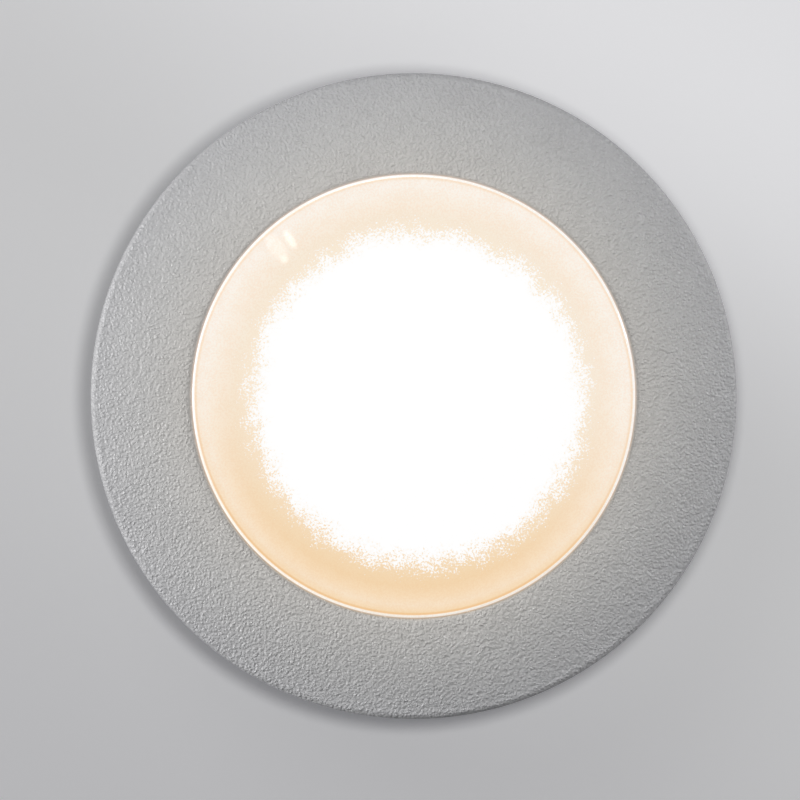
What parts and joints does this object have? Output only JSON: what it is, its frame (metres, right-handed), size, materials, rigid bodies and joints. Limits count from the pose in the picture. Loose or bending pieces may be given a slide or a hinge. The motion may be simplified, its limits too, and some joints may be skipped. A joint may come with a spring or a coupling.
{
  "type": "recessed pathway light",
  "caption": "Round light let into the ground, with a grained trim ring that unscrews, a flush frosted glass and a twist-lock disc lamp.",
  "frame": {"origin": "centre of the sleeve's foot, at its lowest face", "axes": "+Z along the light's axis, out of the ground through the glass; -Y along the cable gland"},
  "size_m": [0.12, 0.12, 0.09],
  "materials": {
    "trim_resin": "grey resin, fine leather grain",
    "lens_glass": "thick toughened glass, frosted beneath",
    "seal_rubber": "matt",
    "sleeve_plastic": "moulded",
    "housing_resin": "moulded, fine grain",
    "white_plastic": "white, moulded",
    "holder_plastic": "white, moulded",
    "lamp_plastic": "white, moulded",
    "opal_plastic": "opal, satin",
    "board_white": "white solder mask",
    "board_green": "green solder mask",
    "capacitor_sleeve": "shrink sleeve",
    "coil_copper": "enamelled wire",
    "terminal_plastic": "moulded",
    "wire_brown": "soft insulation",
    "wire_blue": "soft insulation",
    "gland_plastic": "moulded",
    "screw_steel": "zinc plated",
    "contact_brass": "stamped and turned"
  },
  "bodies": {
    "fixture": {"blanking_plug": "gland_plastic", "fixing_screw_1": "screw_steel", "fixing_screw_2": "screw_steel", "fixing_screw_3": "screw_steel", "gland_body": "gland_plastic", "gland_locknut": "gland_plastic", "gland_washer": "seal_rubber", "holder_contact_1": "contact_brass", "holder_contact_2": "contact_brass", "holder_nut_1": "screw_steel", "holder_nut_2": "screw_steel", "holder_screw_1": "screw_steel", "holder_screw_2": "screw_steel", "housing": "housing_resin", "lampholder": "holder_plastic", "plug_locknut": "gland_plastic", "plug_washer": "seal_rubber", "recess_sleeve": "sleeve_plastic", "reflector_ring": "white_plastic", "sleeve_foot": "sleeve_plastic", "terminal_block": "terminal_plastic", "terminal_clamp_1": "contact_brass", "terminal_clamp_2": "contact_brass", "terminal_fixing_screw": "screw_steel", "terminal_screw_1": "screw_steel", "terminal_screw_2": "screw_steel", "terminal_screw_3": "screw_steel", "terminal_screw_4": "screw_steel", "wire_live": "wire_brown", "wire_neutral": "wire_blue", "wiring_cup": "housing_resin"},
    "lens_unit": {"lens": "lens_glass", "lens_gasket": "seal_rubber"},
    "trim": {"trim_ring": "trim_resin"},
    "lamp": {"driver_board": "board_green", "driver_capacitor": "capacitor_sleeve", "driver_coil": "coil_copper", "lamp_base": "lamp_plastic", "lamp_diffuser": "opal_plastic", "lamp_pin_1": "contact_brass", "lamp_pin_2": "contact_brass", "led_board": "board_white"},
    "cable_seal": {"gland_seal": "seal_rubber"},
    "cable_nut": {"gland_nut": "gland_plastic"}
  },
  "joints": [
    {"name": "lens_lift", "type": "slide", "parent": "fixture", "child": "lens_unit", "axis": [0, 0, 1], "range_m": [0, 0.0075]},
    {"name": "trim_turn", "type": "hinge", "parent": "lens_unit", "child": "trim", "pos_m": [0, 0, 0.084], "axis": [0, 0, 1], "range_deg": [0, 540]},
    {"name": "lamp_twist", "type": "hinge", "parent": "fixture", "child": "lamp", "pos_m": [0, 0, 0.0496], "axis": [0, 0, 1], "range_deg": [0, 20]},
    {"name": "seal_press", "type": "slide", "parent": "fixture", "child": "cable_seal", "axis": [0, -1, 0], "range_m": [0, 0.003]},
    {"name": "gland_nut_turn", "type": "hinge", "parent": "cable_seal", "child": "cable_nut", "pos_m": [0, -0.0416, 0.021], "axis": [0, -1, 0], "range_deg": [0, 720]}
  ],
  "couplings": [
    {"joint": "lens_lift", "follows": "trim_turn", "m_per_rad": 0.00079577},
    {"joint": "gland_nut_turn", "follows": "seal_press", "rad_per_m": 4188.8}
  ]
}
